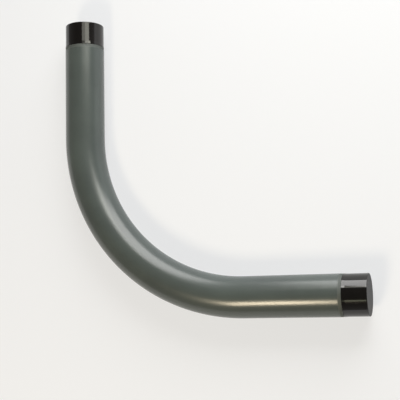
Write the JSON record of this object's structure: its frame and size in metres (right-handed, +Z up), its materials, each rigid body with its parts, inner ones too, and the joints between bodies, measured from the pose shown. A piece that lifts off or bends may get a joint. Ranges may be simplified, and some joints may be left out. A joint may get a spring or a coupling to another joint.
{
  "type": "conduit elbow",
  "caption": "Ninety degree steel conduit elbow with a grey plastic jacket, long straight runs and closed black protectors on its threaded ends.",
  "frame": {"origin": "centre of the box around the elbow, on the surface that it lies on", "axes": "+Z up, square to the plane of the bend; +X out along leg 1 and +Y out along leg 2, so the bend's corner is towards -X and -Y"},
  "size_m": [0.3844, 0.3844, 0.0503],
  "materials": {
    "galvanised_steel": "hot-dip galvanised, dull",
    "grey_pvc": "satin gloss",
    "black_polyethylene": "gloss"
  },
  "bodies": {
    "elbow": {"steel_elbow": "galvanised_steel", "pvc_coating": "grey_pvc"},
    "protector_1": {"thread_protector_1": "black_polyethylene"},
    "protector_2": {"thread_protector_2": "black_polyethylene"}
  },
  "joints": [
    {"name": "protector_1_pull", "type": "slide", "parent": "elbow", "child": "protector_1", "axis": [1, 0, 0], "range_m": [0, 0.045]},
    {"name": "protector_2_pull", "type": "slide", "parent": "elbow", "child": "protector_2", "axis": [0, 1, 0], "range_m": [0, 0.045]}
  ]
}
